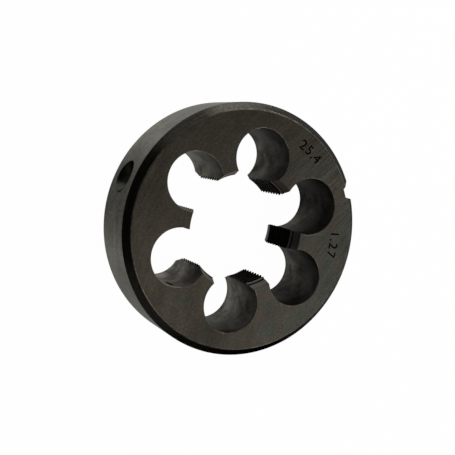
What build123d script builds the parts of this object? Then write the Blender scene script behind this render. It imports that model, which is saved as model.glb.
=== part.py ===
from build123d import *
from math import asin, cos, degrees, radians, sin, sqrt, tan
import os

# A round threading die: one ring of hardened tool steel that cuts an outside
# thread on a rod. Six chip holes break into the threaded bore and leave six
# lands between them, and both ends of the bore flare out in a lead cone.
# Millimetres. Z = 0 is the back face and the front face looks along +Z.
# +X points at the V notch in the rim.

# Blank
OUTER_DIAMETER = 55.0
THICKNESS = 16.0
RIM_CHAMFER = 1.5  # at 45 degrees, on both ends

# Thread, of 20 turns to the inch. The lands stand at its crest radius.
THREAD_MAJOR_DIAMETER = 25.4
THREAD_PITCH = 1.27
CREST_HEIGHT_PER_PITCH = 0.541266  # of a 60 degree thread, major to minor radius
LEAD_MOUTH_STEP = 0.55  # how far the cone's mouth stands outside the major radius
LEAD_HALF_ANGLE = 19.5  # degrees, from the axis to the cone

# Lands and chip holes
LAND_COUNT = 6
LAND_WIDTH = 4.45  # across a land at the crest radius
CHIP_HOLE_DIAMETER = 12.5

# V notch in the rim, for the point of the stock's middle screw
NOTCH_DEPTH = 2.1
NOTCH_FLOOR_WIDTH = 2.0
NOTCH_ANGLE = 60.0  # degrees, between its flanks

# Conical seats in the rim, for the stock's holding screws
SEAT_MOUTH_DIAMETER = 7.3
SEAT_CONE_ANGLE = 90.0  # degrees, between its sides
SEAT_BEARING = 137.5  # degrees from the notch, on each side of it

# Shallow pocket in the wall of the chip hole opposite the notch
POCKET_HOLE = 3  # chip holes are counted from the notch
POCKET_BEARING = -114.5  # degrees, about the axis of its chip hole
POCKET_LENGTH = 4.4  # along the axis
POCKET_WIDTH = 0.7
POCKET_DEPTH = 0.9
POCKET_FRONT_GAP = 1.7  # from the front face

CUT_OVERRUN = 1.0  # how far a cutter stands clear of the face that it enters by

# Worked out from the sizes above
OUTER_RADIUS = OUTER_DIAMETER / 2
THREAD_MAJOR_RADIUS = THREAD_MAJOR_DIAMETER / 2
CREST_RADIUS = THREAD_MAJOR_RADIUS - CREST_HEIGHT_PER_PITCH * THREAD_PITCH
LEAD_MOUTH_RADIUS = THREAD_MAJOR_RADIUS + LEAD_MOUTH_STEP
LEAD_LENGTH = (LEAD_MOUTH_RADIUS - CREST_RADIUS) / tan(radians(LEAD_HALF_ANGLE))
CHIP_HOLE_RADIUS = CHIP_HOLE_DIAMETER / 2
HOLE_SPACING = 360 / LAND_COUNT


def chip_hole_centre_radius():
    """The circle that makes neighbouring chip holes leave lands of the set width."""
    corner = radians(HOLE_SPACING / 2 - degrees(LAND_WIDTH / 2 / CREST_RADIUS))
    reach = sqrt(CHIP_HOLE_RADIUS**2 - (CREST_RADIUS * sin(corner)) ** 2)
    return CREST_RADIUS * cos(corner) + reach


def turned_blank():
    """The ring as turned: chamfered rim, and a bore with a cone at each end."""
    section = Polyline(
        (CREST_RADIUS, LEAD_LENGTH),
        (LEAD_MOUTH_RADIUS, 0),
        (OUTER_RADIUS - RIM_CHAMFER, 0),
        (OUTER_RADIUS, RIM_CHAMFER),
        (OUTER_RADIUS, THICKNESS - RIM_CHAMFER),
        (OUTER_RADIUS - RIM_CHAMFER, THICKNESS),
        (LEAD_MOUTH_RADIUS, THICKNESS),
        (CREST_RADIUS, THICKNESS - LEAD_LENGTH),
        close=True,
    )
    return revolve(Plane.XZ * make_face(section), axis=Axis.Z)


def chip_holes(centre_radius):
    """Round holes through the ring, the first one behind the notch."""
    drill = Cylinder(
        CHIP_HOLE_RADIUS,
        THICKNESS + 2 * CUT_OVERRUN,
        align=(Align.CENTER, Align.CENTER, Align.MIN),
    )
    seats = PolarLocations(centre_radius, LAND_COUNT)
    return [Pos(0, 0, -CUT_OVERRUN) * seat * drill for seat in seats]


def rim_notch():
    """A V with a flat floor, along the whole thickness of the rim."""
    flank_slope = tan(radians(NOTCH_ANGLE / 2))
    floor = OUTER_RADIUS - NOTCH_DEPTH
    mouth = OUTER_RADIUS + CUT_OVERRUN
    floor_half = NOTCH_FLOOR_WIDTH / 2
    mouth_half = floor_half + (mouth - floor) * flank_slope
    section = Polyline(
        (floor, -floor_half),
        (mouth, -mouth_half),
        (mouth, mouth_half),
        (floor, floor_half),
        close=True,
    )
    cutter = extrude(make_face(section), amount=THICKNESS + 2 * CUT_OVERRUN)
    return Pos(0, 0, -CUT_OVERRUN) * cutter


def screw_seat(bearing):
    """A countersink halfway up the rim, pointing at the axis."""
    slope = tan(radians(SEAT_CONE_ANGLE / 2))
    mouth_radius = SEAT_MOUTH_DIAMETER / 2
    # The mouth's two side corners lie on the round rim, inside its outermost line.
    mouth_plane = OUTER_RADIUS * cos(asin(mouth_radius / OUTER_RADIUS))
    base_plane = OUTER_RADIUS + CUT_OVERRUN
    height = mouth_radius / slope + base_plane - mouth_plane
    section = Polyline((0, 0), (height * slope, height), (0, height), close=True)
    cone = revolve(Plane.XZ * make_face(section), axis=Axis.Z)
    outward = Plane(origin=(0, 0, 0), x_dir=(0, 1, 0), z_dir=(1, 0, 0))
    return Rot(0, 0, bearing) * Pos(base_plane - height, 0, THICKNESS / 2) * (outward * cone)


def wall_pocket(centre_radius):
    """A narrow round-ended pocket in one chip hole's wall, along the axis."""
    lift = CUT_OVERRUN
    slot = SlotOverall(POCKET_LENGTH, POCKET_WIDTH, rotation=90)
    into_wall = Plane(origin=(0, 0, 0), x_dir=(0, 1, 0), z_dir=(1, 0, 0))
    cutter = extrude(into_wall * slot, amount=lift + POCKET_DEPTH)
    height = THICKNESS - POCKET_FRONT_GAP - POCKET_LENGTH / 2
    at_wall = Pos(CHIP_HOLE_RADIUS - lift, 0, height) * cutter
    hole_bearing = POCKET_HOLE * HOLE_SPACING
    hole_centre = Pos(
        centre_radius * cos(radians(hole_bearing)),
        centre_radius * sin(radians(hole_bearing)),
        0,
    )
    return hole_centre * Rot(0, 0, POCKET_BEARING) * at_wall


def die_body():
    """The whole die, which is one solid."""
    centre_radius = chip_hole_centre_radius()
    cutters = chip_holes(centre_radius)
    cutters.append(rim_notch())
    cutters += [screw_seat(SEAT_BEARING), screw_seat(-SEAT_BEARING)]
    cutters.append(wall_pocket(centre_radius))
    body = turned_blank()
    for cutter in cutters:
        body = body - cutter
    return body


os.makedirs("parts", exist_ok=True)
body = die_body()
export_step(body, "parts/die_body.step")
print("chip hole centre radius", round(chip_hole_centre_radius(), 3))
print("lead cone length", round(LEAD_LENGTH, 3))
print("solids", len(body.solids()), "volume mm3", round(body.volume, 1))
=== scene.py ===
"""A round threading die of hardened tool steel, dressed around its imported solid."""

import math

import bmesh
import bpy
from mathutils import Matrix, Vector


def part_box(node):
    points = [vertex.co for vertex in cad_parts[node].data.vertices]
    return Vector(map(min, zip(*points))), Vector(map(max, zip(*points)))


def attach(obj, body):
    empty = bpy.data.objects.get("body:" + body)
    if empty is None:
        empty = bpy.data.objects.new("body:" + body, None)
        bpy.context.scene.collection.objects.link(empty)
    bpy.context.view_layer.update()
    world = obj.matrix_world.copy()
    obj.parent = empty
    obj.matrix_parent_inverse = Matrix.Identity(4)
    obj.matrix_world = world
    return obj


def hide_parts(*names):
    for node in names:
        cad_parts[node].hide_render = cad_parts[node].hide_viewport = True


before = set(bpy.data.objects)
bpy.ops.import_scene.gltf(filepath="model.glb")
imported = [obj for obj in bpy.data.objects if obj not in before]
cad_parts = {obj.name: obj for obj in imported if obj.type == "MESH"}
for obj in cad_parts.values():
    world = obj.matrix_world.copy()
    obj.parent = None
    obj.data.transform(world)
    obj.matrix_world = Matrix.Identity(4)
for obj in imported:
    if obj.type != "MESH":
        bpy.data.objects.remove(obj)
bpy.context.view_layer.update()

MM = 0.001  # sizes are in millimetres, and the scene is in metres

# The ring, read back from the frame
ring_low, ring_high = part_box("die_body")
OUTER_RADIUS = round((ring_high.y - ring_low.y) / 2 / MM, 1)
THICKNESS = round((ring_high.z - ring_low.z) / MM, 1)
RIM_CHAMFER = 1.5
EASED_EDGE = 0.15  # stoned off the faces' outer edges and the chip holes' mouths
RING_STEPS = 216  # sides that stand for the round rim and bore

# Thread: 60 degree flanks, right-hand, with a flat at the root of each groove
THREAD_PITCH = 1.27
THREAD_MAJOR_RADIUS = 12.7
CREST_HEIGHT_PER_PITCH = 0.541266  # of a 60 degree thread, major to minor radius
CREST_RADIUS = THREAD_MAJOR_RADIUS - CREST_HEIGHT_PER_PITCH * THREAD_PITCH
ROOT_FLAT = THREAD_PITCH / 8
FLANK_SLOPE = math.tan(math.radians(30))
GROOVE_REACH = 0.92  # of the cutter, in from the major radius
GROOVE_HEIGHT = 11.45  # of the groove that stands at the notch's bearing
STEPS_PER_TURN = 90
TURNS_BELOW = 11  # of cutter, from that groove down past the back face
TURNS_IN_ALL = 17

# Lead cones at both ends of the bore
LEAD_MOUTH_STEP = 0.55  # how far the cone's mouth stands outside the major radius
LEAD_MOUTH_RADIUS = THREAD_MAJOR_RADIUS + LEAD_MOUTH_STEP
LEAD_HALF_ANGLE = math.radians(19.5)
LEAD_LENGTH = (LEAD_MOUTH_RADIUS - CREST_RADIUS) / math.tan(LEAD_HALF_ANGLE)

# Chip holes, which leave the lands between them
LAND_COUNT = 6
LAND_WIDTH = 4.45
CHIP_HOLE_RADIUS = 6.25
CHIP_HOLE_STEPS = 120

# V notch in the rim
NOTCH_DEPTH = 2.1
NOTCH_FLOOR_WIDTH = 2.0

# Conical screw seats in the rim, on each side of the notch
SEAT_MOUTH_RADIUS = 3.65
SEAT_BEARING = math.radians(137.5)
SEAT_STEPS = 96

# Pocket in the wall of the chip hole opposite the notch
POCKET_BEARING = math.radians(-114.5)
POCKET_LENGTH = 4.4
POCKET_WIDTH = 0.7
POCKET_DEPTH = 0.9
POCKET_FRONT_GAP = 1.7
POCKET_STEPS = 24

OVERRUN = 1.0  # how far a cutter stands clear of the face that it enters by
CREASE_ANGLE = math.radians(32)  # past which an edge is shaded as a crease
FLAT_ENOUGH = 0.999  # how far a face's normal points along Z before it is left flat

# Numbers engraved on the front: the thread's diameter and its pitch
NUMERAL_SIZE = 3.15  # of the letter body
NUMERAL_HEIGHT = 2.3  # of the figures themselves
NUMERAL_WEIGHT = 0.04  # added to each side of a stroke
SHORTEST_STROKE_SIDE = 0.004  # of the letter body; shorter ones are merged
NUMERAL_ADVANCE = 1.95
POINT_ADVANCE = 1.35  # between a figure and the decimal point
ENGRAVED_DEPTH = 0.15
NUMBERS = (("25.4", 22.85, 31.0), ("1.27", 22.1, -27.5))  # each with its radius and bearing

# Grinding marks on the faces
GRINDING_CENTRE = Vector((53.0, -65.0, 0.0))  # of the arcs that the cup wheel left
GRINDING_RUN = (0.81, 0.59, 0.0)  # the way the arcs run, on the whole

# Camera, in the ring's own axes
CAMERA_PLACE = Vector((-67.42, 46.51, 177.55))
CAMERA_RIGHT = Vector((0.87379, -0.25717, 0.41274))
CAMERA_BACK = Vector((-0.35358, 0.24669, 0.90229))
CAMERA_LENS = 66.825
CAMERA_SENSOR = 36.0

# White sheet under the die, on the floor of a dim room
SHEET_MIDDLE = Vector((48.0, -9.0, 0.0))
SHEET_HALF = Vector((100.0, 74.0, 0.0))
SHEET_TURN = math.radians(-20)
SHEET_FADE = 14.0  # over which its edge grows dim
FLOOR_HALF = 1000.0
FLOOR_GAP = 0.02  # under the back face
FLOOR_DIMMEST = 0.12
GLOW_SHARE = 0.985  # of the white that is seen; the rest is lit, and takes the shadow
WALL_LIGHT = 0.1
WHITE = (1.0, 1.0, 1.0, 1.0)


# Small helpers ------------------------------------------------------------------


def linear(hex_colour):
    """A linear colour from an sRGB hex value such as '3c3731'."""
    channels = [int(hex_colour[i : i + 2], 16) / 255 for i in (0, 2, 4)]
    straight = [c / 12.92 if c <= 0.04045 else ((c + 0.055) / 1.055) ** 2.4 for c in channels]
    return (*straight, 1.0)


def add(tree, kind, settings=None, inputs=None, links=None):
    """Adds one node with its settings, its input values and its incoming links."""
    made = tree.nodes.new(kind)
    for name, value in (settings or {}).items():
        setattr(made, name, value)
    for name, value in (inputs or {}).items():
        made.inputs[name].default_value = value
    for name, source in (links or {}).items():
        tree.links.new(source, made.inputs[name])
    return made


def new_object(name, data):
    """An object of the data, linked into the scene."""
    made = bpy.data.objects.new(name, data)
    bpy.context.scene.collection.objects.link(made)
    return made


def settle_modifiers(piece):
    """Makes the piece's modifiers part of its mesh."""
    depsgraph = bpy.context.evaluated_depsgraph_get()
    mesh = bpy.data.meshes.new_from_object(piece.evaluated_get(depsgraph))
    piece.modifiers.clear()
    piece.data = mesh


# Materials ----------------------------------------------------------------------


def start_metal(name, roughness, edge_tint=1.0):
    """A metal with its tree, its surface node and the object's own coordinates.

    The edge tint says how much of its shine a dark film leaves at a glancing look.
    """
    material = bpy.data.materials.new(name)
    material.use_nodes = True
    tree = material.node_tree
    surface = tree.nodes["Principled BSDF"]
    surface.inputs["Metallic"].default_value = 1.0
    surface.inputs["Roughness"].default_value = roughness
    surface.inputs["Specular Tint"].default_value = (edge_tint, edge_tint, edge_tint, 1.0)
    place = add(tree, "ShaderNodeTexCoord").outputs["Object"]
    return material, tree, surface, place


def stretched_noise(tree, place, grain, detail=3.0):
    """Noise whose grain is so many millimetres along x, y and z."""
    scaled = add(
        tree, "ShaderNodeMapping", {"vector_type": "POINT"},
        {"Scale": tuple(1 / (size * MM) for size in grain)}, {"Vector": place},
    )
    return add(
        tree, "ShaderNodeTexNoise", None, {"Scale": 1.0, "Detail": detail, "Roughness": 0.6},
        {"Vector": scaled.outputs[0]},
    ).outputs["Fac"]


def film_colour(tree, factor, stops):
    """A colour that changes with the factor, through (position, hex colour) stops."""
    made = add(tree, "ShaderNodeValToRGB", links={"Fac": factor})
    while len(made.color_ramp.elements) < len(stops):
        made.color_ramp.elements.new(0.5)
    for element, (position, colour) in zip(made.color_ramp.elements, stops):
        element.position = position
        element.color = linear(colour)
    return made.outputs["Color"]


def between(tree, factor, low, high):
    """The factor's middle part, spread from the low value to the high one."""
    return add(
        tree, "ShaderNodeMapRange", None,
        {"From Min": 0.3, "From Max": 0.7, "To Min": low, "To Max": high}, {"Value": factor},
    ).outputs[0]


def shaded(tree, colour, level):
    """The colour made darker or paler by a level."""
    return add(
        tree, "ShaderNodeVectorMath", {"operation": "SCALE"}, links={0: colour, "Scale": level}
    ).outputs[0]


def mottled(tree, colour, factor, low, high):
    """The colour made darker and paler by the factor, from the low level to the high one."""
    return shaded(tree, colour, between(tree, factor, low, high))


def level_along(tree, place, direction, span, levels):
    """A value that goes from one level to another over a span of millimetres."""
    reach = add(
        tree, "ShaderNodeVectorMath", {"operation": "DOT_PRODUCT"}, {1: direction}, {0: place}
    ).outputs["Value"]
    return add(
        tree, "ShaderNodeMapRange", None,
        {
            "From Min": span[0] * MM, "From Max": span[1] * MM,
            "To Min": levels[0], "To Max": levels[1],
        },
        {"Value": reach},
    ).outputs[0]


def graded(tree, colour, place, direction, span, levels):
    """The colour made darker or paler bit by bit along a direction, in millimetres."""
    return shaded(tree, colour, level_along(tree, place, direction, span, levels))


def patched(tree, colour, place, middle, radius, level):
    """The colour made darker or paler in a soft round patch, in millimetres."""
    reach = add(
        tree, "ShaderNodeVectorMath", {"operation": "DISTANCE"},
        {1: tuple(size * MM for size in middle)}, {0: place},
    ).outputs["Value"]
    fading = add(
        tree, "ShaderNodeMapRange", {"interpolation_type": "SMOOTHSTEP"},
        {"From Min": 0.0, "From Max": radius * MM, "To Min": level, "To Max": 1.0},
        {"Value": reach},
    ).outputs[0]
    return shaded(tree, colour, fading)


def scratched(tree, surface, factor, depth):
    """Bump from the factor, its marks so many millimetres deep."""
    bump = add(
        tree, "ShaderNodeBump", None, {"Strength": 1.0, "Distance": depth * MM},
        {"Height": factor},
    )
    tree.links.new(bump.outputs[0], surface.inputs["Normal"])


def ground_face_steel():
    # Alloy tool steel, hardened and tempered, its faces ground flat on a rotary table:
    # temper film in soft clouds, brown on one side of the face and greyer on the other,
    # crossed by faint arcs of grinding lines that are scored deeper by the notch.
    material, tree, surface, place = start_metal("ground_face_steel", 0.4)
    clouds = stretched_noise(tree, place, (3.5, 3.5, 3.5), 5.0)
    greyer = level_along(tree, place, (0.9, -0.43, 0.0), (-25.0, 25.0), (-0.13, 0.13))
    tone = add(tree, "ShaderNodeMath", {"operation": "ADD"}, links={0: clouds, 1: greyer})
    film_and_painted_light = film_colour(
        tree, tone.outputs[0], ((0.38, "3f3b33"), (0.5, "3d3831"), (0.62, "393934"))
    )
    from_centre = add(
        tree, "ShaderNodeMapping", {"vector_type": "POINT"},
        {"Location": -GRINDING_CENTRE * MM}, {"Vector": place},
    )
    reach = add(
        tree, "ShaderNodeVectorMath", {"operation": "LENGTH"},
        links={0: from_centre.outputs[0]},
    ).outputs["Value"]
    along = add(
        tree, "ShaderNodeVectorMath", {"operation": "DOT_PRODUCT"},
        {1: GRINDING_RUN}, {0: place},
    ).outputs["Value"]
    arcs = add(tree, "ShaderNodeCombineXYZ", links={"X": reach, "Y": along}).outputs[0]
    lines = stretched_noise(tree, arcs, (0.4, 9.0, 1.0), 5.0)
    broad = stretched_noise(tree, arcs, (4.0, 9.0, 1.0), 3.0)
    scored = add(
        tree, "ShaderNodeMixRGB",
        links={
            "Fac": level_along(tree, place, (1.0, 0.0, 0.0), (8.0, 24.0), (0.0, 1.0)),
            "Color1": mottled(tree, film_and_painted_light, lines, 0.82, 1.18),
            "Color2": mottled(tree, film_and_painted_light, lines, 0.5, 1.5),
        },
    )
    film_and_painted_light = scored.outputs[0]
    # Painted light and shade: three soft patches make the face darker round (-14, -19) and paler
    # round (22.5, 4) and (-22, 1).
    film_and_painted_light = patched(tree, film_and_painted_light, place, (-14.0, -19.0, THICKNESS), 12.0, 0.72)
    film_and_painted_light = patched(tree, film_and_painted_light, place, (22.5, 4.0, THICKNESS), 15.0, 1.26)
    film_and_painted_light = patched(tree, film_and_painted_light, place, (-22.0, 1.0, THICKNESS), 10.0, 1.2)
    film_and_painted_light = mottled(tree, film_and_painted_light, broad, 0.82, 1.18)
    film_and_painted_light = mottled(tree, film_and_painted_light, stretched_noise(tree, place, (0.5, 0.5, 0.5)), 0.75, 1.25)
    tree.links.new(film_and_painted_light, surface.inputs["Base Color"])
    tree.links.new(between(tree, lines, 0.37, 0.45), surface.inputs["Roughness"])
    scratched(tree, surface, lines, 0.004)
    return material


def ground_rim_steel():
    # The same tool steel, its rim ground between centres: a brighter neutral grey with
    # fine lines that run round it.
    material, tree, surface, place = start_metal("ground_rim_steel", 0.36, 0.35)
    lines = stretched_noise(tree, place, (14.0, 14.0, 0.35), 5.0)
    clouds = stretched_noise(tree, place, (5.0, 5.0, 2.5))
    film_and_painted_light = film_colour(tree, clouds, ((0.35, "6a6963"), (0.65, "75746d")))
    # Painted light: the rim grows paler towards +Y, up to 1.6 times.
    film_and_painted_light = graded(tree, film_and_painted_light, place, (0.0, 1.0, 0.0), (-20.0, 27.0), (0.85, 1.6))
    # Painted shade in the reflection: the rim is darker round bearing 145, on the camera's side.
    film_and_painted_light = graded(tree, film_and_painted_light, place, (-0.819, 0.574, 0.0), (24.5, 27.4), (1.0, 0.42))
    film_and_painted_light = mottled(tree, film_and_painted_light, stretched_noise(tree, place, (0.5, 0.5, 0.9)), 0.75, 1.25)
    tree.links.new(mottled(tree, film_and_painted_light, lines, 0.86, 1.14), surface.inputs["Base Color"])
    tree.links.new(between(tree, lines, 0.34, 0.46), surface.inputs["Roughness"])
    scratched(tree, surface, lines, 0.004)
    return material


def turned_chamfer_steel():
    # Tool steel as it was turned and then hardened: a near-black quench film over fine
    # turned lines, smooth enough to flash where a lamp stands low.
    material, tree, surface, place = start_metal("turned_chamfer_steel", 0.26)
    lines = stretched_noise(tree, place, (10.0, 10.0, 0.25), 4.0)
    film_and_painted_light = film_colour(tree, lines, ((0.3, "1e1d1a"), (0.7, "282723")))
    film_and_painted_light = mottled(tree, film_and_painted_light, stretched_noise(tree, place, (0.5, 0.5, 0.5)), 0.6, 1.4)
    # The shine at a glancing look is painted dimmer towards bearing -60: painted shade in the
    # reflection there.
    painted_dim_shine = level_along(tree, place, (0.5, -0.866, 0.0), (-8.0, 18.0), (0.65, 0.35))
    tree.links.new(painted_dim_shine, surface.inputs["Specular Tint"])
    tree.links.new(film_and_painted_light, surface.inputs["Base Color"])
    tree.links.new(between(tree, lines, 0.22, 0.32), surface.inputs["Roughness"])
    scratched(tree, surface, lines, 0.003)
    return material


def drilled_hole_steel():
    # Tool steel as it was drilled and reamed, then blackened in hardening: dark neutral grey in
    # soft clouds with a few paler patches, which are painted highlights, and faint streaks drawn
    # along the hole. Painted light and shade also grade the walls.
    material, tree, surface, place = start_metal("drilled_hole_steel", 0.5, 0.5)
    clouds = stretched_noise(tree, place, (4.5, 4.5, 4.5))
    film_and_painted_light = film_colour(tree, clouds, ((0.35, "171614"), (0.65, "34332f")))
    film_and_painted_light = mottled(tree, film_and_painted_light, stretched_noise(tree, place, (1.8, 1.8, 2.6)), 0.86, 1.14)
    # Painted light and shade: the walls are paler towards -X and darker towards +X.
    film_and_painted_light = graded(tree, film_and_painted_light, place, (-0.987, 0.16, 0.0), (-22.0, 22.0), (0.4, 3.15))
    # Painted shade: the walls are darker below y = -17 mm.
    film_and_painted_light = graded(tree, film_and_painted_light, place, (0.0, 1.0, 0.0), (-20.5, -17.0), (0.55, 1.1))
    # Painted shade: the walls are darker towards bearing 45, past 12 mm out.
    film_and_painted_light = graded(tree, film_and_painted_light, place, (0.707, 0.707, 0.0), (12.0, 21.0), (1.0, 0.75))
    # Painted light: the walls grow paler towards the back face, standing for light from the floor
    # below.
    film_and_painted_light = graded(tree, film_and_painted_light, place, (0.0, 0.0, -1.0), (-15.0, -2.0), (1.0, 2.6))
    # Painted highlights: five paler patches on the walls; the last patch is darker, painted shade.
    film_and_painted_light = patched(tree, film_and_painted_light, place, (17.8, -6.0, 1.0), 4.5, 2.1)
    film_and_painted_light = patched(tree, film_and_painted_light, place, (14.2, 12.7, 1.6), 4.0, 1.7)
    film_and_painted_light = patched(tree, film_and_painted_light, place, (11.5, 8.8, 6.3), 3.5, 1.5)
    film_and_painted_light = patched(tree, film_and_painted_light, place, (-7.2, -20.2, 3.1), 6.0, 1.5)
    film_and_painted_light = patched(tree, film_and_painted_light, place, (13.9, -16.3, 2.5), 6.0, 1.4)
    film_and_painted_light = patched(tree, film_and_painted_light, place, (-12.3, -5.2, 13.7), 6.0, 0.4)
    streaks = stretched_noise(tree, place, (0.5, 0.5, 9.0), 4.0)
    film_and_painted_light = mottled(tree, film_and_painted_light, stretched_noise(tree, place, (0.6, 0.6, 0.6)), 0.8, 1.2)
    tree.links.new(mottled(tree, film_and_painted_light, streaks, 0.92, 1.08), surface.inputs["Base Color"])
    tree.links.new(between(tree, clouds, 0.44, 0.56), surface.inputs["Roughness"])
    scratched(tree, surface, streaks, 0.003)
    return material


def drilled_seat_steel():
    # Tool steel where a point drill sank the screw seat, fairly smooth. Its near-black colour is
    # partly its own black film and partly painted shade in the recess; the paler side is a painted
    # reflection.
    material, tree, surface, place = start_metal("drilled_seat_steel", 0.35, 0.35)
    rings = stretched_noise(tree, place, (1.0, 1.0, 1.0), 3.0)
    film_and_painted_light = film_colour(tree, rings, ((0.3, "0e0e0c"), (0.7, "1b1b18")))
    either_seat = add(
        tree, "ShaderNodeVectorMath", {"operation": "ABSOLUTE"}, links={0: place}
    ).outputs[0]
    # Painted reflection: each seat is up to seven times paler on the side that faces the other
    # seat.
    film_and_painted_light = graded(tree, film_and_painted_light, either_seat, (0.676, -0.737, 0.0), (1.0, 2.2), (1.0, 7.0))
    tree.links.new(film_and_painted_light, surface.inputs["Base Color"])
    return material


def lead_steel():
    # Tool steel with its lead turned and relieved: mid grey, with the tool's rings.
    material, tree, surface, place = start_metal("lead_steel", 0.42, 0.6)
    rings = stretched_noise(tree, place, (8.0, 8.0, 0.3), 3.0)
    film_and_painted_light = film_colour(tree, rings, ((0.3, "302f2b"), (0.7, "44423d")))
    # Painted light: the lead is paler towards -Y, up to 2.8 times.
    film_and_painted_light = graded(tree, film_and_painted_light, place, (0.0, -1.0, 0.0), (7.0, 12.0), (1.0, 2.8))
    # Painted shade: the lead is darker towards bearing -30.
    film_and_painted_light = graded(tree, film_and_painted_light, place, (0.866, -0.5, 0.0), (7.0, 12.5), (1.0, 0.6))
    tree.links.new(film_and_painted_light, surface.inputs["Base Color"])
    scratched(tree, surface, rings, 0.01)
    return material


def thread_steel():
    # Tapped and lapped tool steel, its flanks black from the quench and kept in oil, and made
    # darker still as painted shade on the flanks and in the pocket.
    material, tree, surface, place = start_metal("thread_steel", 0.4, 0.35)
    grain = stretched_noise(tree, place, (1.2, 1.2, 0.25), 3.0)
    film_and_painted_light = film_colour(tree, grain, ((0.3, "070706"), (0.7, "11100e")))
    tree.links.new(film_and_painted_light, surface.inputs["Base Color"])
    tree.links.new(between(tree, grain, 0.32, 0.5), surface.inputs["Roughness"])
    return material


def lapped_crest_steel():
    # The same steel on the thread's crests, lapped to a dull dark grey.
    material, tree, surface, place = start_metal("lapped_crest_steel", 0.45, 0.4)
    grain = stretched_noise(tree, place, (1.5, 1.5, 3.0), 3.0)
    film_and_painted_light = film_colour(tree, grain, ((0.3, "22211e"), (0.7, "343330")))
    # Painted shade: the crests are darker towards bearing -30.
    film_and_painted_light = graded(tree, film_and_painted_light, place, (0.866, -0.5, 0.0), (7.0, 12.0), (1.0, 0.35))
    tree.links.new(film_and_painted_light, surface.inputs["Base Color"])
    return material


def stoned_edge_steel():
    # Bare tool steel where each edge was broken with a stone: paler, in uneven rubs.
    material, tree, surface, place = start_metal("stoned_edge_steel", 0.3)
    rubs = stretched_noise(tree, place, (1.5, 1.5, 1.5), 4.0)
    film_and_painted_light = film_colour(tree, rubs, ((0.35, "4a4640"), (0.65, "7a746a")))
    tree.links.new(film_and_painted_light, surface.inputs["Base Color"])
    return material


def engraved_steel():
    # Tool steel burnt by the electric engraver: rough, black-brown scale.
    material, tree, surface, place = start_metal("engraved_steel", 0.7)
    scale = stretched_noise(tree, place, (0.3, 0.3, 0.3), 2.0)
    film_and_painted_light = film_colour(tree, scale, ((0.3, "070503"), (0.7, "120e08")))
    tree.links.new(film_and_painted_light, surface.inputs["Base Color"])
    scratched(tree, surface, scale, 0.02)
    return material


face_finish = ground_face_steel()
rim_finish = ground_rim_steel()
chamfer_finish = turned_chamfer_steel()
hole_finish = drilled_hole_steel()
lead_finish = lead_steel()
thread_finish = thread_steel()
crest_finish = lapped_crest_steel()
edge_finish = stoned_edge_steel()
numeral_finish = engraved_steel()
seat_finish = drilled_seat_steel()


# The die ------------------------------------------------------------------------


def finished_mesh(name, shape, faces):
    """The shape as a mesh whose faces wear their finishes, given face by face."""
    finishes = list(dict.fromkeys(faces.values()))
    for face, finish in faces.items():
        face.material_index = finishes.index(finish)
    bmesh.ops.recalc_face_normals(shape, faces=shape.faces)
    mesh = bpy.data.meshes.new(name)
    shape.to_mesh(mesh)
    shape.free()
    for finish in finishes:
        mesh.materials.append(finish)
    return mesh


def turned(name, profile, steps):
    """A solid turned about Z. Each profile point brings the finish of the side it starts."""
    shape = bmesh.new()
    bearings = [math.tau * (step + 0.5) / steps for step in range(steps)]
    rings = []
    for (radius, height), _ in profile:
        if radius == 0:
            rings.append([shape.verts.new((0.0, 0.0, height * MM))] * steps)
            continue
        rings.append([
            shape.verts.new((radius * MM * math.cos(b), radius * MM * math.sin(b), height * MM))
            for b in bearings
        ])
    faces = {}
    for ring, after, (_, finish) in zip(rings, rings[1:] + rings[:1], profile):
        for step in range(steps):
            corners = [ring[step - 1], ring[step], after[step], after[step - 1]]
            corners = list(dict.fromkeys(corners))
            if len(corners) > 2:
                faces[shape.faces.new(corners)] = finish
    return finished_mesh(name, shape, faces)


def prism(name, outline, low, high, finish):
    """A straight-sided solid that stands on an outline, from one height to another."""
    shape = bmesh.new()
    floor = [shape.verts.new((x * MM, y * MM, low * MM)) for x, y in outline]
    roof = [shape.verts.new((x * MM, y * MM, high * MM)) for x, y in outline]
    sides = zip(floor, floor[1:] + floor[:1], roof[1:] + roof[:1], roof)
    made = [shape.faces.new(floor), shape.faces.new(roof)]
    made += [shape.faces.new(side) for side in sides]
    return finished_mesh(name, shape, {face: finish for face in made})


def eased(before, corner, after):
    """Three points that round a corner of a profile."""
    start = corner + (before - corner).normalized() * EASED_EDGE
    end = corner + (after - corner).normalized() * EASED_EDGE
    return start, (start + 2 * corner + end) / 4, end


def ring_blank():
    """The ring as turned: chamfered rim, and a bore with a cone at each end."""
    crest = Vector((CREST_RADIUS, THICKNESS - LEAD_LENGTH))
    mouth = Vector((LEAD_MOUTH_RADIUS, THICKNESS))
    shoulder = Vector((OUTER_RADIUS - RIM_CHAMFER, THICKNESS))
    rim = Vector((OUTER_RADIUS, THICKNESS - RIM_CHAMFER))
    start, middle, end = eased(mouth, shoulder, rim)
    front = [crest, mouth, start, middle, end, rim]
    back = [Vector((point.x, THICKNESS - point.y)) for point in reversed(front)]
    finishes = [lead_finish, face_finish, edge_finish, edge_finish, chamfer_finish]
    sides = finishes + [rim_finish] + finishes[::-1] + [crest_finish]
    return turned("threaded_die", list(zip(front + back, sides)), RING_STEPS)


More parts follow.
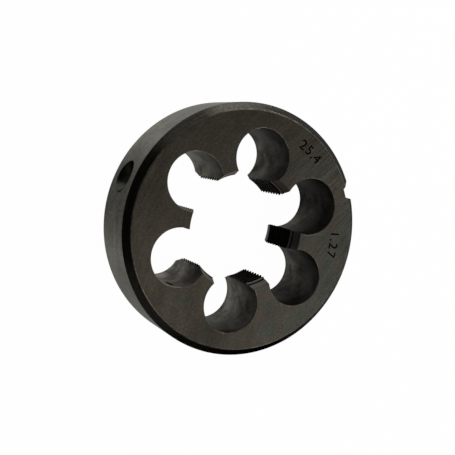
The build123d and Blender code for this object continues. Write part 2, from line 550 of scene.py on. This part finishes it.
def chip_drill():
    """The tool for one chip hole, which flares at both faces to ease the hole's mouths."""
    ease = EASED_EDGE
    lip = CHIP_HOLE_RADIUS + 2.4 * ease  # on the flare's slope, clear of the face
    upper = [
        ((CHIP_HOLE_RADIUS, THICKNESS - ease), edge_finish),
        ((CHIP_HOLE_RADIUS + 0.3 * ease, THICKNESS - 0.3 * ease), edge_finish),
        ((lip, THICKNESS + 0.6 * ease), edge_finish),
        ((lip, THICKNESS + OVERRUN), edge_finish),
        ((0, THICKNESS + OVERRUN), edge_finish),
    ]
    lower = [((radius, THICKNESS - height), edge_finish) for (radius, height), _ in upper[::-1]]
    lower[-1] = (lower[-1][0], hole_finish)
    return turned("chip_drill", lower + upper, CHIP_HOLE_STEPS)


def chip_circle_radius():
    """The circle that makes neighbouring chip holes leave lands of the set width."""
    corner = math.pi / LAND_COUNT - math.asin(LAND_WIDTH / 2 / CREST_RADIUS)
    reach = math.sqrt(CHIP_HOLE_RADIUS**2 - (CREST_RADIUS * math.sin(corner)) ** 2)
    return CREST_RADIUS * math.cos(corner) + reach


def cutting_tree():
    """Geometry nodes that drill a ring's chip holes and cut its right-hand thread."""
    tree = bpy.data.node_groups.new("cut_die", "GeometryNodeTree")
    sockets = tree.interface
    sockets.new_socket("Blank", in_out="INPUT", socket_type="NodeSocketGeometry")
    sockets.new_socket("Drill", in_out="INPUT", socket_type="NodeSocketObject")
    for name in (
        "Chip Circle Radius", "Pitch", "Major Radius", "Reach", "Root Flat", "Mouth Width",
        "Start Height",
    ):
        sockets.new_socket(name, in_out="INPUT", socket_type="NodeSocketFloat")
    for name in ("Lands", "Steps per Turn", "Turns"):
        sockets.new_socket(name, in_out="INPUT", socket_type="NodeSocketInt")
    sockets.new_socket("Thread Finish", in_out="INPUT", socket_type="NodeSocketMaterial")
    sockets.new_socket("Die", in_out="OUTPUT", socket_type="NodeSocketGeometry")
    given = add(tree, "NodeGroupInput").outputs

    seats = add(
        tree, "GeometryNodeMeshCircle",
        links={"Vertices": given["Lands"], "Radius": given["Chip Circle Radius"]},
    )
    drill = add(tree, "GeometryNodeObjectInfo", links={"Object": given["Drill"]})
    drills = add(
        tree, "GeometryNodeInstanceOnPoints",
        links={"Points": seats.outputs[0], "Instance": drill.outputs["Geometry"]},
    )
    real_drills = add(
        tree, "GeometryNodeRealizeInstances", links={"Geometry": drills.outputs[0]}
    )

    length = add(
        tree, "ShaderNodeMath", {"operation": "MULTIPLY"},
        links={0: given["Pitch"], 1: given["Turns"]},
    )
    half_reach = add(
        tree, "ShaderNodeMath", {"operation": "MULTIPLY"}, {1: 0.5}, {0: given["Reach"]}
    )
    middle_radius = add(
        tree, "ShaderNodeMath", {"operation": "SUBTRACT"},
        links={0: given["Major Radius"], 1: half_reach.outputs[0]},
    )
    helix = add(
        tree, "GeometryNodeCurveSpiral", None, {"Reverse": True},
        {
            "Resolution": given["Steps per Turn"],
            "Rotations": given["Turns"],
            "Start Radius": middle_radius.outputs[0],
            "End Radius": middle_radius.outputs[0],
            "Height": length.outputs[0],
        },
    )
    upright = add(
        tree, "GeometryNodeSetCurveNormal", {"mode": "Z_UP"}, links={"Curve": helix.outputs[0]}
    )
    groove = add(
        tree, "GeometryNodeCurvePrimitiveQuadrilateral", {"mode": "TRAPEZOID"},
        {"Offset": 0.0},
        {
            "Height": given["Reach"],
            "Bottom Width": given["Root Flat"],
            "Top Width": given["Mouth Width"],
        },
    )
    turned_groove = add(
        tree, "GeometryNodeTransform", None, {"Rotation": (0.0, 0.0, math.pi / 2)},
        {"Geometry": groove.outputs[0]},
    )
    tap = add(
        tree, "GeometryNodeCurveToMesh", None, {"Fill Caps": True},
        {"Curve": upright.outputs[0], "Profile Curve": turned_groove.outputs[0]},
    )
    marked = add(
        tree, "GeometryNodeStoreNamedAttribute", {"data_type": "BOOLEAN", "domain": "FACE"},
        {"Name": "groove", "Value": True}, {"Geometry": tap.outputs[0]},
    )
    start = add(tree, "ShaderNodeCombineXYZ", links={"Z": given["Start Height"]})
    placed = add(
        tree, "GeometryNodeTransform",
        links={"Geometry": marked.outputs[0], "Translation": start.outputs[0]},
    )

    drilled = add(
        tree, "GeometryNodeMeshBoolean", {"operation": "DIFFERENCE", "solver": "MANIFOLD"},
        links={"Mesh 1": given["Blank"], "Mesh 2": real_drills.outputs[0]},
    )
    tapped = add(
        tree, "GeometryNodeMeshBoolean", {"operation": "DIFFERENCE", "solver": "MANIFOLD"},
        links={"Mesh 1": drilled.outputs["Mesh"], "Mesh 2": placed.outputs[0]},
    )
    real = add(tree, "GeometryNodeRealizeInstances", links={"Geometry": tapped.outputs["Mesh"]})
    in_groove = add(
        tree, "GeometryNodeInputNamedAttribute", {"data_type": "BOOLEAN"}, {"Name": "groove"}
    )
    finished = add(
        tree, "GeometryNodeSetMaterial",
        links={
            "Geometry": real.outputs[0],
            "Selection": in_groove.outputs[0],
            "Material": given["Thread Finish"],
        },
    )
    add(tree, "NodeGroupOutput", links={0: finished.outputs[0]})
    return tree


def drill_and_thread(die):
    """Runs the cutting tree on the blank and keeps the result as its mesh."""
    drill = new_object("chip_drill", chip_drill())
    tree = cutting_tree()
    modifier = die.modifiers.new("cut_die", "NODES")
    modifier.node_group = tree
    sizes = {
        "Drill": drill,
        "Chip Circle Radius": chip_circle_radius() * MM,
        "Lands": LAND_COUNT,
        "Pitch": THREAD_PITCH * MM,
        "Major Radius": THREAD_MAJOR_RADIUS * MM,
        "Reach": GROOVE_REACH * MM,
        "Root Flat": ROOT_FLAT * MM,
        "Mouth Width": (ROOT_FLAT + 2 * GROOVE_REACH * FLANK_SLOPE) * MM,
        "Start Height": (GROOVE_HEIGHT - TURNS_BELOW * THREAD_PITCH) * MM,
        "Steps per Turn": STEPS_PER_TURN,
        "Turns": TURNS_IN_ALL,
        "Thread Finish": thread_finish,
    }
    for item in tree.interface.items_tree:
        if item.in_out == "INPUT" and item.name in sizes:
            modifier[item.identifier] = sizes[item.name]
    settle_modifiers(die)
    bpy.data.objects.remove(drill)


def cut_away(die, mesh):
    """Takes the mesh's solid out of the die; the new faces keep the solid's finishes."""
    tool = new_object(mesh.name, mesh)
    cut = die.modifiers.new("cut", "BOOLEAN")
    cut.operation = "DIFFERENCE"
    cut.solver = "MANIFOLD"
    cut.material_mode = "TRANSFER"
    cut.object = tool
    settle_modifiers(die)
    bpy.data.objects.remove(tool)


def notch_tool():
    """The V with a flat floor, along the whole thickness of the rim."""
    floor = OUTER_RADIUS - NOTCH_DEPTH
    mouth = OUTER_RADIUS + OVERRUN
    floor_half = NOTCH_FLOOR_WIDTH / 2
    mouth_half = floor_half + (mouth - floor) * FLANK_SLOPE
    outline = [(floor, -floor_half), (mouth, -mouth_half), (mouth, mouth_half), (floor, floor_half)]
    return prism("notch", outline, -OVERRUN, THICKNESS + OVERRUN, rim_finish)


def seat_tool(bearing):
    """A right-angled countersink that points at the axis, halfway up the rim."""
    mouth_plane = math.sqrt(OUTER_RADIUS**2 - SEAT_MOUTH_RADIUS**2)
    tip = mouth_plane - SEAT_MOUTH_RADIUS
    height = OUTER_RADIUS + OVERRUN - tip
    profile = [((0, 0), seat_finish), ((height, height), seat_finish), ((0, height), seat_finish)]
    mesh = turned("screw_seat", profile, SEAT_STEPS)
    inwards = Matrix.Translation((tip * MM, 0.0, THICKNESS / 2 * MM))
    lying = Matrix.Rotation(math.pi / 2, 4, "Y")
    mesh.transform(Matrix.Rotation(bearing, 4, "Z") @ inwards @ lying)
    return mesh


def pocket_tool():
    """A narrow round-ended pocket, from inside a chip hole into its wall."""
    end = POCKET_WIDTH / 2
    straight = POCKET_LENGTH / 2 - end
    outline = []
    for step in range(POCKET_STEPS):
        turn = math.tau * (step + 0.5) / POCKET_STEPS
        lift = straight if turn < math.pi else -straight
        outline.append((end * math.cos(turn), lift + end * math.sin(turn)))
    # The pocket wears the thread's near-black finish, which paints the shade inside it.
    mesh = prism("pocket", outline, -OVERRUN, POCKET_DEPTH, thread_finish)
    into_wall = Matrix(((0, 0, 1, 0), (1, 0, 0, 0), (0, 1, 0, 0), (0, 0, 0, 1)))
    height = THICKNESS - POCKET_FRONT_GAP - POCKET_LENGTH / 2
    at_wall = Matrix.Translation((CHIP_HOLE_RADIUS * MM, 0.0, height * MM))
    in_hole = Matrix.Translation((-chip_circle_radius() * MM, 0.0, 0.0))
    mesh.transform(in_hole @ Matrix.Rotation(POCKET_BEARING, 4, "Z") @ at_wall @ into_wall)
    return mesh


def numeral_tool(figure, radius, bearing):
    """A raised figure that stands across the front face, its top towards the rim."""
    text = bpy.data.curves.new("numeral", "FONT")
    text.body = figure
    text.align_x = "CENTER"
    text.size = 1.0
    text.extrude = ENGRAVED_DEPTH / NUMERAL_SIZE
    text.resolution_u = 6
    made = new_object("numeral", text)
    settled = bpy.data.meshes.new_from_object(
        made.evaluated_get(bpy.context.evaluated_depsgraph_get())
    )
    bpy.data.objects.remove(made)
    shape = bmesh.new()
    shape.from_mesh(settled)
    # Short sides go first, so that no outline crosses itself as its stroke grows.
    bmesh.ops.remove_doubles(shape, verts=shape.verts, dist=SHORTEST_STROKE_SIDE)
    bmesh.ops.recalc_face_normals(shape, faces=shape.faces)
    grown = {}
    for corner in shape.verts:
        sides = [face.normal for face in corner.link_faces if abs(face.normal.z) < 0.5]
        outwards = sum(sides, Vector()).normalized()
        grown[corner] = outwards * NUMERAL_WEIGHT / NUMERAL_SIZE
    for corner, shift in grown.items():
        corner.co += shift
    shape.to_mesh(settled)
    shape.free()
    baseline = radius - NUMERAL_HEIGHT / 2
    upright = Matrix.Translation((0.0, baseline * MM, THICKNESS * MM))
    to_size = Matrix.Scale(NUMERAL_SIZE * MM, 4)
    settled.transform(Matrix.Rotation(bearing - math.pi / 2, 4, "Z") @ upright @ to_size)
    return settled


def engrave_numbers(die):
    """Cuts all the figures in one go, each turned to stand square to its own radius."""
    shape = bmesh.new()
    for number, radius, bearing in NUMBERS:
        places = [0.0]
        for before, figure in zip(number, number[1:]):
            beside_point = "." in (before, figure)
            places.append(places[-1] + (POINT_ADVANCE if beside_point else NUMERAL_ADVANCE))
        for figure, place in zip(number, places):
            turn = (places[-1] / 2 - place) / radius
            shape.from_mesh(numeral_tool(figure, radius, math.radians(bearing) + turn))
    figures = finished_mesh("numerals", shape, {face: numeral_finish for face in shape.faces})
    cut_away(die, figures)


def crease_edges(die):
    """Round faces are smooth up to where their finish ends, and flat ones stay flat."""
    die.data.set_sharp_from_angle(angle=CREASE_ANGLE)
    shape = bmesh.new()
    shape.from_mesh(die.data)
    for edge in shape.edges:
        finishes = {face.material_index for face in edge.link_faces}
        edge.smooth = edge.smooth and len(finishes) == 1
    for face in shape.faces:
        face.smooth = abs(face.normal.z) < FLAT_ENOUGH
    shape.to_mesh(die.data)
    shape.free()


die = new_object("threaded_die", ring_blank())
drill_and_thread(die)
for tool in (notch_tool(), seat_tool(SEAT_BEARING), seat_tool(-SEAT_BEARING), pocket_tool()):
    cut_away(die, tool)
engrave_numbers(die)
crease_edges(die)
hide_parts("die_body")
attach(die, "root")


# Studio -------------------------------------------------------------------------


def camera():
    """A long lens that looks down on the front face from the notch's far side."""
    data = bpy.data.cameras.new("camera")
    data.lens = CAMERA_LENS
    data.sensor_width = CAMERA_SENSOR
    data.clip_start = 0.01
    made = new_object("camera", data)
    up = CAMERA_BACK.cross(CAMERA_RIGHT)
    turn = Matrix((CAMERA_RIGHT, up, CAMERA_BACK)).transposed().to_4x4()
    made.matrix_world = Matrix.Translation(CAMERA_PLACE * MM) @ turn
    bpy.context.scene.camera = made


def paper_floor():
    # White paper: matt, and bright enough to read as white, with a trace of shadow.
    mesh = bpy.data.meshes.new("floor")
    half = FLOOR_HALF * MM
    corners = [(-half, -half, 0.0), (half, -half, 0.0), (half, half, 0.0), (-half, half, 0.0)]
    mesh.from_pydata(corners, [], [(0, 1, 2, 3)])
    made = new_object("floor", mesh)
    made.location.z = -FLOOR_GAP * MM
    material = bpy.data.materials.new("white_paper")
    material.use_nodes = True
    tree = material.node_tree
    tree.nodes.clear()
    rays = add(tree, "ShaderNodeLightPath").outputs
    seen = rays["Is Camera Ray"]
    for other in (rays["Is Glossy Ray"], rays["Is Transmission Ray"]):
        either = add(tree, "ShaderNodeMath", {"operation": "MAXIMUM"}, links={0: seen, 1: other})
        seen = either.outputs[0]
    share = add(tree, "ShaderNodeMath", {"operation": "MULTIPLY"}, {1: GLOW_SHARE}, {0: seen})
    place = add(tree, "ShaderNodeTexCoord").outputs["Object"]
    turned_place = add(
        tree, "ShaderNodeMapping", {"vector_type": "TEXTURE"},
        {"Location": SHEET_MIDDLE * MM, "Rotation": (0.0, 0.0, SHEET_TURN)}, {"Vector": place},
    )
    reach = add(
        tree, "ShaderNodeVectorMath", {"operation": "ABSOLUTE"}, links={0: turned_place.outputs[0]}
    )
    past = add(
        tree, "ShaderNodeVectorMath", {"operation": "SUBTRACT"},
        {1: SHEET_HALF * MM}, {0: reach.outputs[0]},
    )
    sides = add(tree, "ShaderNodeSeparateXYZ", links={0: past.outputs[0]})
    furthest = add(
        tree, "ShaderNodeMath", {"operation": "MAXIMUM"},
        links={0: sides.outputs["X"], 1: sides.outputs["Y"]},
    )
    fade = add(
        tree, "ShaderNodeMapRange", {"interpolation_type": "SMOOTHSTEP"},
        {"From Min": 0.0, "From Max": SHEET_FADE * MM, "To Min": 1.0, "To Max": FLOOR_DIMMEST},
        {"Value": furthest.outputs[0]},
    ).outputs[0]
    paper = add(tree, "ShaderNodeBsdfDiffuse", None, {"Color": linear("f4f4f4")})
    glow = add(tree, "ShaderNodeEmission", None, {"Color": WHITE}, {"Strength": fade})
    both = add(
        tree, "ShaderNodeMixShader",
        links={0: share.outputs[0], 1: paper.outputs[0], 2: glow.outputs[0]},
    )
    add(tree, "ShaderNodeOutputMaterial", links={"Surface": both.outputs[0]})
    mesh.materials.append(material)


def softbox(name, place, size, watts):
    """A rectangular lamp, in millimetres, that looks at the die's middle."""
    data = bpy.data.lights.new(name, "AREA")
    data.shape = "RECTANGLE"
    data.size = size[0] * MM
    data.size_y = size[1] * MM
    data.energy = watts
    made = new_object(name, data)
    stand = Vector(place) * MM
    aim = Vector((0.0, 0.0, THICKNESS / 2 * MM)) - stand
    turn = aim.to_track_quat("-Z", "Y").to_matrix().to_4x4()
    made.matrix_world = Matrix.Translation(stand) @ turn


def studio_walls():
    """An even, faint light from all round."""
    made = bpy.data.worlds.new("studio_walls")
    made.use_nodes = True
    walls = made.node_tree.nodes["Background"]
    walls.inputs["Color"].default_value = WHITE
    walls.inputs["Strength"].default_value = WALL_LIGHT
    bpy.context.scene.world = made


camera()
paper_floor()
studio_walls()
softbox("overhead", (205, -272, 436), (340, 340), 0.86)
softbox("low_strip", (250, 260, 45), (330, 90), 0.85)
softbox("side_card", (0, 350, 85), (220, 110), 0.13)
softbox("low_fill", (-300, -195, 50), (320, 120), 0.06)
softbox("edge_card", (247, 155, 302), (260, 120), 0.15)
softbox("right_card", (352, -24, 160), (240, 120), 0.08)
softbox("left_card", (-157, -157, 356), (200, 140), 0.1)

bpy.context.scene.view_settings.view_transform = "Standard"
